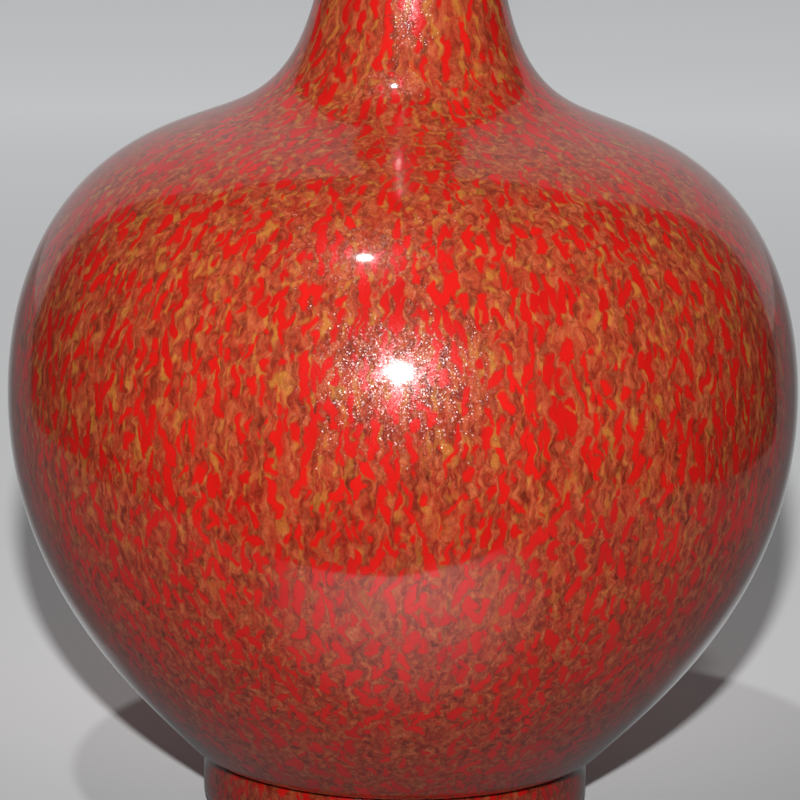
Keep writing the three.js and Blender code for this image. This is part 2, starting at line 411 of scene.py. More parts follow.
def noise(where, size, offset=0.0, detail=2, rough=0.5):
    """The grey output of a noise whose lumps are about a size apart; the offset picks another place."""
    moved = vector_of("ADD", where, (offset, offset * 0.7, offset * 1.3))
    inputs = {"Vector": moved, "Scale": 1 / size, "Detail": detail, "Roughness": rough}
    return join("ShaderNodeTexNoise", inputs)[0]


def spread(value, low, high, to_low, to_high):
    """A value carried from one range to another, and held within it."""
    inputs = {"Value": value, "From Min": low, "From Max": high, "To Min": to_low, "To Max": to_high}
    return join("ShaderNodeMapRange", inputs)[0]


def above(value, level, softness):
    """0 where a value is below a level and 1 above, with a soft edge."""
    return spread(value, level - softness, level + softness, 0, 1)


# Turning a section on the wheel

WHEEL = "Turned on the wheel"
WHEEL_INPUTS = {"Section": "Geometry", "Sides": "Int", "Unevenness": "Float", "Waver": "Float",
                "Seed": "Int", "Material": "Material"}
HOLLOWS_PER_METRE = (18, 18, 55)
DRIPS_PER_METRE = (60, 60, 0)
SHARP_ANGLE = math.radians(38)
WELD = 0.002 * MM
EDGE_FADE = 3 * MM


def sampled(section, value, row, kind):
    """A value at one of a section's points."""
    inputs = {"Geometry": section, "Value": value, "Index": row}
    return join("GeometryNodeSampleIndex", inputs, data_type=kind, domain="POINT")[0]


def wheel_tree():
    """Geometry Nodes that carry a section's points round the axis and close the seam."""
    if WHEEL in bpy.data.node_groups:
        return bpy.data.node_groups[WHEEL]
    tree = bpy.data.node_groups.new(WHEEL, "GeometryNodeTree")
    tree.interface.new_socket("Geometry", in_out="OUTPUT", socket_type="NodeSocketGeometry")
    for name, kind in WHEEL_INPUTS.items():
        tree.interface.new_socket(name, in_out="INPUT", socket_type="NodeSocket" + kind)
    given = tree.nodes.new("NodeGroupInput").outputs
    section = given["Section"]

    count = join("GeometryNodeAttributeDomainSize", {"Geometry": section})["Point Count"]
    columns = math_of("ADD", given["Sides"], 1)
    sheet = join("GeometryNodeMeshGrid", {"Vertices X": columns, "Vertices Y": count})["Mesh"]
    index = add(tree, "GeometryNodeInputIndex").outputs[0]
    column = math_of("FLOOR", math_of("DIVIDE", math_of("ADD", index, 0.5), count))
    row = math_of("SUBTRACT", index, times(column, count))
    on_section = add(tree, "GeometryNodeInputPosition").outputs[0]
    way_round = math_of("DIVIDE", times(column, 2 * math.pi), given["Sides"])
    turned = turned_by(sampled(section, on_section, row, "FLOAT_VECTOR"), way_round)

    seeded = point_of(X=given["Seed"])
    stretched = vector_of("MULTIPLY", turned, HOLLOWS_PER_METRE)
    hollows = noise(vector_of("ADD", stretched, seeded), 1, detail=1)
    outwards = vector_of("NORMALIZE", vector_of("MULTIPLY", turned, (1, 1, 0)))
    sunk = scaled(outwards, times(hollows, given["Unevenness"], -1))

    edge = add(tree, "GeometryNodeInputNamedAttribute", {"Name": "edge"}, data_type="FLOAT").outputs[0]
    around = vector_of("MULTIPLY", turned, DRIPS_PER_METRE)
    drips = noise(vector_of("ADD", around, seeded), 1)
    lift = times(drips, given["Waver"], sampled(section, edge, row, "FLOAT"))

    final_place = vector_of("ADD", vector_of("ADD", turned, sunk), point_of(Z=lift))
    shaped = join("GeometryNodeSetPosition", {"Geometry": sheet, "Position": final_place})[0]
    welded = join("GeometryNodeMergeByDistance", {"Geometry": shaped, "Distance": WELD})[0]
    inputs = {"Geometry": welded, "Shade Smooth": True}
    rounded = join("GeometryNodeSetShadeSmooth", inputs, domain="FACE")[0]
    bend = add(tree, "GeometryNodeInputMeshEdgeAngle").outputs["Unsigned Angle"]
    sharp = math_of("GREATER_THAN", bend, SHARP_ANGLE)
    inputs = {"Geometry": rounded, "Selection": sharp, "Shade Smooth": False}
    smooth = join("GeometryNodeSetShadeSmooth", inputs, domain="EDGE")[0]
    real = join("GeometryNodeRealizeInstances", {"Geometry": smooth})[0]
    painted = join("GeometryNodeSetMaterial", {"Geometry": real, "Material": given["Material"]})[0]
    join("NodeGroupOutput", {"Geometry": painted})
    return tree


def new_object(name, data):
    """An object in the scene, with a mesh, lamp or camera as its data."""
    found = bpy.data.objects.new(name, data)
    bpy.context.scene.collection.objects.link(found)
    return found


def section_object(name, section, edge_height):
    """A mesh of loose points, one for each point of the section, marked near the glaze line."""
    mesh = bpy.data.meshes.new(name)
    mesh.from_pydata([(r, 0, z) for r, z in section], [], [])
    marks = mesh.attributes.new("edge", "FLOAT", "POINT")
    values = [max(0, 1 - max(0, z - edge_height) / EDGE_FADE) if edge_height else 0 for _, z in section]
    marks.data.foreach_set("value", values)
    return new_object(name, mesh)


def turn(name, section, material, sides, unevenness=0.0, waver=0.0, edge_height=0.0):
    """Turns a section, given as radii and heights, into a plain closed mesh."""
    walls = bpy.context.scene.vase_walls
    piece = section_object(name, section, edge_height)
    tree = wheel_tree()
    wheel = piece.modifiers.new("wheel", "NODES")
    wheel.node_group = tree
    given = {"Sides": sides, "Unevenness": unevenness, "Waver": waver, "Seed": walls.seed,
             "Material": material}
    for socket in tree.interface.items_tree:
        if socket.name in given:
            wheel[socket.identifier] = given[socket.name]
    depsgraph = bpy.context.evaluated_depsgraph_get()
    mesh = bpy.data.meshes.new_from_object(piece.evaluated_get(depsgraph), depsgraph=depsgraph)
    piece.modifiers.remove(wheel)
    loose = piece.data
    piece.data = mesh
    mesh.name = name
    bpy.data.meshes.remove(loose)
    return piece


def stand_in(piece, node):
    """Puts a finished piece in its CAD node's stead."""
    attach(piece, "root")
    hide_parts(node)


# Materials

def new_material(name):
    """A material with an empty node tree."""
    material = bpy.data.materials.new(name)
    material.use_nodes = True
    material.node_tree.nodes.clear()
    return material, material.node_tree


def surfaced(material, shader):
    """A material that shows a shader's output."""
    join("ShaderNodeOutputMaterial", {"Surface": shader})
    return material


def mix(share, first, second):
    """A mix of two colours."""
    return join("ShaderNodeMix", {0: share, 6: first, 7: second}, data_type="RGBA")[2]


def tint(colours, shade, share, most=1):
    """Colours drawn towards a shade, by a share times the most that it may be."""
    return mix(times(share, most), colours, shade)


def ramp(value, stops):
    """A colour ramp over (place, colour) stops."""
    node = add(value.id_data, "ShaderNodeValToRGB", {"Fac": value})
    elements = node.color_ramp.elements
    while len(elements) < len(stops):
        elements.new(0.5)
    for element, (where, shade) in zip(elements, stops):
        element.position = where
        element.color = opaque(shade)
    return node.outputs[0]


# Heights where the glaze's run starts, and where it is the share given
RUN_START = -10 * MM
FULL_RUN = 110 * MM


def drawn(where, flow):
    """Points squeezed along the axis, so that a pattern on them is drawn out along it.

    The glaze has run further the higher it is, so they are squeezed more there: the share given
    is that at the belly's widest place.
    """
    apart = parts_of(where)
    risen = math_of("SQRT", math_of("SUBTRACT", apart["Z"], RUN_START))
    height = times(risen, 2 * flow * math.sqrt(FULL_RUN - RUN_START))
    return point_of(X=apart["X"], Y=apart["Y"], Z=height)


SWAYS_PER_METRE = 260
SWAY = 3.4 * MM


def swayed(where):
    """Points shifted about a little, so that a pattern on them wavers."""
    sway = join("ShaderNodeTexNoise", {"Vector": where, "Scale": SWAYS_PER_METRE, "Detail": 1})["Color"]
    sway = vector_of("SUBTRACT", sway, (0.5, 0.5, 0.5))
    return vector_of("ADD", where, scaled(sway, SWAY))


EMPTY_SHARE = 0.3
SLIMMEST_SHARE = 0.48
SHORTEST_DASH = 0.4 * MM
WOBBLE = 2.4 * MM


def dashes(where, glaze, size, offset):
    """How far inside a rounded dash a point lies. Each cell has one, of its own length, width and lean."""
    squeezed = vector_of("ADD", drawn(where, glaze.cell_flow), (offset, offset, offset))
    layout = {"Vector": squeezed, "Scale": 1 / (glaze.fleck_spacing * size)}
    cells = join("ShaderNodeTexVoronoi", layout)
    border = join("ShaderNodeTexVoronoi", layout, feature="DISTANCE_TO_EDGE")["Distance"]
    chance = join("ShaderNodeSeparateColor", {"Color": cells["Color"]})

    away = vector_of("SUBTRACT", squeezed, cells["Position"])
    away = vector_of("MULTIPLY", away, (1, 1, 1 / glaze.cell_flow))
    around = vector_of("NORMALIZE", vector_of("CROSS_PRODUCT", (0, 0, 1), where))
    flat = point_of(X=vector_of("DOT_PRODUCT", away, around), Y=parts_of(away)["Z"])
    lean = spread(chance["Red"], 0, 1, -glaze.lean, glaze.lean)
    apart = parts_of(turned_by(flat, lean))

    half_length = spread(chance["Green"], 0, 1, SHORTEST_DASH / 2, glaze.fleck_length * size / 2)
    past_end = math_of("SUBTRACT", math_of("ABSOLUTE", apart["Y"]), half_length)
    past_end = math_of("MAXIMUM", past_end, 0)
    from_line = vector_of("LENGTH", point_of(X=apart["X"], Y=past_end))

    widest = glaze.fleck_width * size / 2
    half_width = spread(chance["Blue"], EMPTY_SHARE, 1, widest * SLIMMEST_SHARE, widest)
    filled = math_of("GREATER_THAN", chance["Blue"], EMPTY_SHARE)
    wobble = spread(noise(where, WOBBLE, offset, detail=1), 0.3, 0.7, 0.75, 1.25)
    half_width = times(half_width, filled, wobble, spread(border, 0, 0.2, 0, 1))
    return math_of("SUBTRACT", half_width, from_line)


FLECK_LAYERS = ((0.31, 0.85), (0.77, 1), (1.63, 1.2))


def inside_flecks(where, glaze):
    """How far inside the nearest fleck a point lies, in layers that each have a shift and a size."""
    inside = -1.0
    for offset, size in FLECK_LAYERS:
        inside = math_of("MAXIMUM", inside, dashes(where, glaze, size, offset))
    return inside


# In levels of the noise that the lines follow
HAIRLINE = 0.06


def hairlines(where, size, offset):
    """1 on thin curling lines, which follow a noise's middle level and break off in places."""
    level = noise(where, size, offset)
    from_middle = math_of("ABSOLUTE", math_of("SUBTRACT", level, 0.5))
    width = spread(noise(where, size * 2, offset + 2.3, detail=1), 0.35, 0.6, 0, HAIRLINE)
    return above(math_of("SUBTRACT", width, from_middle), 0, HAIRLINE / 2)


FACET_SLOPE = 0.13


def glinting_normal(where, spacing, share):
    """The surface's direction broken into small facets, each of which leans its own way.

    Few of them lean far, so that glints are thick close to a highlight and thin out away from it.
    """
    cells = join("ShaderNodeTexVoronoi", {"Vector": where, "Scale": 1 / spacing})["Color"]
    lean = vector_of("SUBTRACT", cells, (0.5, 0.5, 0.5))
    lean = scaled(lean, times(vector_of("LENGTH", lean), 4 * FACET_SLOPE, share))
    upright = add(where.id_data, "ShaderNodeNewGeometry").outputs["Normal"]
    return vector_of("NORMALIZE", vector_of("ADD", upright, lean))


MOTTLE = 1.7 * MM
PALE_HAIRS = 1.5 * MM
DARK_HAIRS = 2.1 * MM
CLOUD = 4 * MM
STREAK = 2.2 * MM
RED_PATCH = 12 * MM
FLECK_HEART = 0.9 * MM
LIP_EDGE = 1.6 * MM


def ground_colours(glaze, here, upright, inside):
    """The mottle between the flecks: paler and more ochre higher up, and redder beside a fleck."""
    height = parts_of(here)["Z"]
    ground = ramp(noise(upright, MOTTLE, 2.3, detail=3), [
        (0.26, glaze.dark), (0.40, glaze.brown), (0.55, glaze.salmon), (0.70, glaze.tan)])
    ground = tint(ground, glaze.tan, spread(height, 100 * MM, 160 * MM, 0, 0.22))
    ground = tint(ground, glaze.tan, hairlines(upright, PALE_HAIRS, 8.1), 0.3)
    beside_fleck = above(inside, -0.4 * MM, 0.7 * MM)
    clouds = above(noise(upright, CLOUD, 9.3), 0.5, 0.15)
    ground = tint(ground, glaze.haze, math_of("MAXIMUM", beside_fleck, clouds), 0.55)
    ground = tint(ground, glaze.dark, hairlines(upright, DARK_HAIRS, 6.7), 0.4)
    ochre = above(noise(upright, STREAK, 3.7, detail=1), 0.63, 0.08)
    ground = tint(ground, glaze.ochre, ochre, spread(height, 60 * MM, 130 * MM, 0.1, 0.65))
    grain = noise(here, glaze.grain, 0.9, rough=0.6)
    blotches = noise(upright, STREAK, 5.1, detail=3, rough=0.6)
    speckled = math_of("ADD", blotches, times(math_of("SUBTRACT", grain, 0.5), 0.25))
    ground = tint(ground, glaze.dark, above(speckled, 0.6, 0.05), 0.42)
    return scaled(ground, spread(grain, 0.25, 0.75, 0.88, 1.12))


def fleck_colours(glaze, upright, inside):
    """Clear red, deeper in patches and a little brighter at a fleck's heart."""
    patches = above(noise(upright, RED_PATCH, 7.9), 0.5, 0.2)
    red = mix(patches, glaze.deep_red, glaze.red)
    return scaled(red, spread(inside, 0, FLECK_HEART, 0.86, 1.04))


def outer_glaze_material(glaze, shape):
    """Bright red flecks, drawn down the pot, over a mottled ground of brown, salmon and ochre."""
    material, tree = new_material("mottled_red_glaze")
    here = add(tree, "ShaderNodeTexCoord").outputs["Object"]
    height = parts_of(here)["Z"]
    wavering = swayed(here)
    upright = drawn(wavering, glaze.flow)
    inside = inside_flecks(wavering, glaze)
    flecks = above(inside, 0.2 * MM, 0.34 * MM)
    colours = mix(flecks, ground_colours(glaze, here, upright, inside),
                  fleck_colours(glaze, upright, inside))
    colours = mix(above(height, shape.total_height - LIP_EDGE, 1.4 * MM), colours, glaze.edge)
    # Painted shade: the glaze is darkened towards the foot, under the belly
    painted_foot_shade = spread(height, 15 * MM, 30 * MM, 0.62, 1)

    facing_away = add(tree, "ShaderNodeLayerWeight").outputs["Facing"]
    glinting = times(spread(flecks, 0, 1, 1, 0.25), spread(facing_away, 0.35, 0.75, 1, 0.1))
    return surfaced(material, join("ShaderNodeBsdfPrincipled", {
        "Base Color": scaled(colours, painted_foot_shade),
        "Normal": glinting_normal(here, glaze.facet_spacing, glinting),
        "Roughness": 0.25, "IOR": 1.47, "Specular IOR Level": 0.28,
        "Coat Weight": 1, "Coat Roughness": 0.07, "Coat IOR": 1.47,
    })[0])


def plain_glaze_material(name, main, shade, size):
    """A plainer glaze with soft clouds of a second shade, dark specks and fine ripples."""
    material, tree = new_material(name)
    here = add(tree, "ShaderNodeTexCoord").outputs["Object"]
    clouds = above(noise(here, size, 1.7, detail=4, rough=0.6), 0.52, 0.14)
    specks = above(noise(here, size * 0.08, 2.9), 0.66, 0.03)
    colours = tint(mix(clouds, main, shade), (0.02, 0.01, 0.006), specks, 0.6)
    ripples = noise(here, size * 0.15, 0.4)
    bump = join("ShaderNodeBump", {"Height": ripples, "Strength": 1, "Distance": 0.04 * MM})[0]
    return surfaced(material, join("ShaderNodeBsdfPrincipled", {
        "Base Color": colours, "Normal": bump, "Roughness": 0.09, "IOR": 1.5})[0])


CLAY_CLOUD = 9 * MM
CLAY_SPECK = 0.8 * MM
TOOL_RING = 0.9 * MM
SAND = 0.35 * MM


def clay_material(name, glaze, flushed_above=None):
    """Fired clay with dark specks, sandy pits and the rings that the turning tool leaves."""
    material, tree = new_material(name)
    here = add(tree, "ShaderNodeTexCoord").outputs["Object"]
    height = parts_of(here)["Z"]
    clouds = above(noise(here, CLAY_CLOUD, 0.2, detail=4, rough=0.6), 0.5, 0.2)
    colours = mix(clouds, glaze.clay, [value * 0.82 for value in glaze.clay])
    specks = above(noise(here, CLAY_SPECK, 3.3), 0.68, 0.03)
    colours = tint(colours, glaze.dark, specks, 0.7)
    if flushed_above is not None:
        colours = mix(above(height, flushed_above, 1.5 * MM), colours, glaze.burnt_clay)
    radius = vector_of("LENGTH", vector_of("MULTIPLY", here, (1, 1, 0)))
    path = math_of("ADD", radius, height)
    rings = math_of("SINE", times(path, 2 * math.pi / TOOL_RING))
    sand = noise(here, SAND, 6.1, detail=3, rough=0.6)
    relief = math_of("ADD", times(rings, 0.25), sand)
    bump = join("ShaderNodeBump", {"Height": relief, "Strength": 0.8, "Distance": 0.08 * MM})[0]
    return surfaced(material, join("ShaderNodeBsdfPrincipled", {
        "Base Color": colours, "Normal": bump, "Roughness": 0.82})[0])


# Pieces

class VaseOperator(bpy.types.Operator):
    """What the vase's operators share"""
    bl_options = {"REGISTER", "UNDO"}

    def made(self):
        """Tells the user that the pieces are there."""
        self.report({"INFO"}, f"{self.bl_label} done")
        return {"FINISHED"}


RING_STEP = 1.7 * MM
HIDDEN_STEP = 6 * MM
FLOOR_CORNER = 39 * MM
FOOT_LEDGE = 40 * MM
FOOT_RECESS = 42 * MM
FOOT_REBATE = 43.6 * MM
FOOT_RINGS = 22
GLAZED_FOOT_RINGS = 12
COVE_STEPS = 8
COVE_WIDTH = 15 * MM


class VASE_OT_clay_sections(VaseOperator):
    """Makes the thrown sections: foot ring, base disc, belly halves, neck and mouth"""
    bl_idname = "vase.clay_sections"
    bl_label = "Clay sections"

    def execute(self, context):
        shape, walls, glaze, _ = settings()
        vase = Sections(shape, walls)
        bare = clay_material("bare_foot_clay", glaze, walls.bare_foot - 1 * MM)
        clay = clay_material("body_clay", glaze)
        self.foot_ring(vase, bare, walls)
        self.base_disc(clay, walls)
        for node in ("lower_belly", "upper_belly", "neck"):
            self.wall(vase, node, clay, walls)
        self.mouth(vase, clay, walls)
        return self.made()

    def foot_ring(self, vase, clay, walls):
        """The turned foot, with a soft edge to its bare rim and a rebate for the base disc."""
        top, ledge = box_top("foot_ring"), box_bottom("base_disc")
        outside = [top * step / FOOT_RINGS for step in range(1, FOOT_RINGS + 1)]
        rim = vase.foot_radius(0) - vase.coat
        soft = 0.5 * MM
        section = [(FOOT_RECESS + soft, 0), (rim - soft, 0)]
        section += [(vase.foot_radius(z) - vase.coat, z) for z in outside]
        section += [(FOOT_REBATE, top), (FOOT_REBATE, ledge), (FOOT_LEDGE, ledge),
                    (FOOT_LEDGE, ledge - soft), (FOOT_RECESS - soft * 0.3, soft), (FOOT_RECESS + soft, 0)]
        stand_in(turn("foot_ring_turned", section, clay, walls.sides), "foot_ring")

    def base_disc(self, clay, walls):
        """The flat floor of the vase."""
        low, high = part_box("base_disc")
        section = [(0, low.z), (high.x, low.z), (high.x, high.z), (0, high.z)]
        stand_in(turn("base_disc_thrown", section, clay, walls.hidden_sides), "base_disc")

    def wall(self, vase, node, clay, walls):
        """One of the belly's halves or the neck, between two flat joints."""
        low, high = box_bottom(node), box_top(node)
        heights = vase.heights(low, high, HIDDEN_STEP)
        inside, corner = heights, []
        if node == "lower_belly":
            inside, corner = vase.heights(vase.corner_top, high, HIDDEN_STEP), [(FLOOR_CORNER, low)]
        section = vase.climb("clay_face", heights) + vase.climb("clay_back", inside)[::-1] + corner
        section.append(section[0])
        stand_in(turn(node + "_thrown", section, clay, walls.hidden_sides), node)

    def mouth(self, vase, clay, walls):
        """The everted mouth under its glaze."""
        heights = vase.heights(box_bottom("mouth_rim"), vase.crest_base, HIDDEN_STEP)
        section = vase.climb("clay_face", heights)[:-1]
        section += vase.lip(vase.coat, 0, 180, 8)
        section += vase.climb("clay_back", heights)[:-1][::-1]
        section.append(section[0])
        stand_in(turn("mouth_rim_thrown", section, clay, walls.hidden_sides), "mouth_rim")


class VASE_OT_slip_joints(VaseOperator):
    """Makes the slip that holds the sections together"""
    bl_idname = "vase.slip_joints"
    bl_label = "Slip joints"

    def execute(self, context):
        shape, walls, glaze, _ = settings()
        vase = Sections(shape, walls)
        slip = clay_material("joint_slip", glaze)
        for node in ("foot_slip_joint", "belly_slip_joint", "neck_slip_joint", "lip_slip_joint"):
            low, high = box_bottom(node), box_top(node)
            if node == "foot_slip_joint":
                outside = [(vase.foot_radius(low) - vase.coat, low), (vase.radius("clay_face", high), high)]
                inside = [(FLOOR_CORNER, high), (FLOOR_CORNER, low)]
            else:
                outside = vase.climb("clay_face", [low, high])
                inside = vase.climb("clay_back", [high, low])
            section = outside + inside + outside[:1]
            stand_in(turn(node + "_fired", section, slip, walls.hidden_sides), node)
        return self.made()


class VASE_OT_outer_glaze(VaseOperator):
    """Makes the red glaze outside, from the glaze line above the foot's rim to the lip's crest"""
    bl_idname = "vase.outer_glaze"
    bl_label = "Outer glaze"

    def execute(self, context):
        shape, walls, glaze, _ = settings()
        vase = Sections(shape, walls)
        line, crease = walls.bare_foot, shape.foot_height
        foot = [line + (crease - line) * step / GLAZED_FOOT_RINGS for step in range(GLAZED_FOOT_RINGS + 1)]
        rise = vase.heights(crease + 0.05 * MM, vase.crest_base, RING_STEP)
        fall = vase.heights(crease + 0.4 * MM, vase.crest_base, HIDDEN_STEP)
        section = [(vase.foot_radius(line) - walls.glaze * 0.5, line),
                   (vase.foot_radius(line) - walls.glaze * 0.15, line + 0.1 * MM)]
        section += [(vase.foot_radius(z), z) for z in foot[1:]]
        section += vase.climb("glaze_face", rise[:-1])
        section += vase.lip(0, 0, 90, 10)
        section += vase.lip(walls.glaze, 90, 0, 4)
        section += vase.climb("glaze_back", fall[:-1])[::-1]
        section += [(vase.foot_radius(z) - walls.glaze, z) for z in foot[-2::-3]]
        section.append(section[0])
        piece = turn("outer_glaze_coat", section, outer_glaze_material(glaze, shape), walls.sides,
                     walls.unevenness, walls.waver, line + 1 * MM)
        stand_in(piece, "outer_glaze")
        return self.made()


class VASE_OT_inner_glazes(VaseOperator):
    """Makes the glaze inside the vase and the glaze under its base"""
    bl_idname = "vase.inner_glazes"
    bl_label = "Inner and base glaze"

    def execute(self, context):
        shape, walls, glaze, _ = settings()
        vase = Sections(shape, walls)
        self.lining(vase, walls, glaze)
        self.base(walls, glaze)
        return self.made()

    def lining(self, vase, walls, glaze):
        """Over the floor, up the wall and over the lip to its crest."""
        floor = vase.floor_top + walls.gap
        corner = FLOOR_CORNER - walls.gap
        corner_base = box_bottom("lower_belly")
        heights = vase.heights(vase.corner_top, vase.crest_base, RING_STEP * 2)
        crest = vase.lip_middle - walls.gap
        top = vase.shape.total_height
        section = [(0, floor), (corner, floor), (corner, corner_base)]
        section += vase.climb("lining_back", heights[:-1])
        section += vase.lip(walls.glaze, 180, 100, 5)
        section += [(crest, top - walls.glaze), (crest, top)]
        section += vase.lip(0, 100, 180, 8)
        section += vase.climb("lining_face", heights[:-1])[::-1]
        section += self.cove(section[-1], (corner - walls.glaze, corner_base + walls.glaze),
                             (corner - COVE_WIDTH, floor + walls.glaze))
        section += [(0, floor + walls.glaze)]
        material = plain_glaze_material("inner_glaze_brown_red", glaze.inside, glaze.brown, 16 * MM)
        piece = turn("inner_glaze_coat", section, material, walls.hidden_sides)
        stand_in(piece, "inner_glaze")

    def cove(self, start, corner, end):
        """The rounded corner where the wall runs into the floor."""
        start, corner, end = Vector(start), Vector(corner), Vector(end)
        shares = [step / COVE_STEPS for step in range(1, COVE_STEPS + 1)]
        return [tuple(start * (1 - t) ** 2 + corner * 2 * t * (1 - t) + end * t * t) for t in shares]

    def base(self, walls, glaze):
        """A thin disc inside the foot, drawn up a little into its corner."""
        low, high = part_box("base_glaze")
        section = [(0, low.z), (high.x - 1.2 * MM, low.z), (high.x, low.z + 0.25 * MM),
                   (high.x, high.z), (0, high.z)]
        material = plain_glaze_material("base_glaze_brown_red", glaze.base, glaze.dark, 12 * MM)
        piece = turn("base_glaze_coat", section, material, walls.hidden_sides)
        stand_in(piece, "base_glaze")


# Stage

FLOOR_RADIUS = 9.0
FLOOR_STEPS = 96
BOARD_RADIUS = 2.6
BOARD_HEIGHT = 3.2
BOARD_STEPS = 72
BOARD_OPENING = math.radians(45)
BOARD_COLOUR = (0.012, 0.011, 0.012)
ABOVE_FLOOR = 1 * MM

# Outline of the pale patch of floor that the glaze mirrors: (to the right, away from the camera)
PALE_PATCH = [(-0.46, 0.30), (-0.45, 0.11), (-0.35, -0.035), (-0.295, -0.135), (-0.21, -0.181),
              (0.0, -0.195), (0.14, -0.232), (0.27, -0.288), (0.37, -0.28), (0.42, 0.30)]

# The floor's painted glow is least around the middle of the shadow, and its painted reflection is brightest
# in the glaze at another place
SHADOW_MIDDLE = (0, 0.12, 0)
LEAST_PALER = 0.02
PALER_ROUND_ABOUT = 0.3
BRIGHT_PLACE = (0.005, -0.2, 0)
BELLY_REACH = 0.1

LAMP_AIM = (0, 0, 0.12)
SPOT_AIM = (0, 2.2, 0)
SPOT_CONE = math.radians(44)
BACKDROP = 0.62
CAMERA_ASIDE = -0.69 * MM


def sheet_object(name, points, faces, material):
    """A thin sheet that belongs to the stage."""
    mesh = bpy.data.meshes.new(name)
    mesh.from_pydata(points, [], faces)
    mesh.materials.append(material)
    sheet = new_object(name, mesh)
    return sheet


def circle(radius, height, bearings):
    """Points on a level circle, at bearings from the direction away from the camera."""
    return [(radius * math.sin(bearing), radius * math.cos(bearing), height) for bearing in bearings]


def seen_in_glaze(tree):
    """1 for light that reaches the eye through a reflection."""
    return add(tree, "ShaderNodeLightPath").outputs["Is Glossy Ray"]


def seen_directly(tree):
    """1 for light that reaches the eye straight or through a reflection, 0 for light that bounces on."""
    path = add(tree, "ShaderNodeLightPath").outputs
    seen = math_of("MAXIMUM", path["Is Camera Ray"], path["Is Glossy Ray"])
    return math_of("MAXIMUM", seen, path["Is Transmission Ray"])


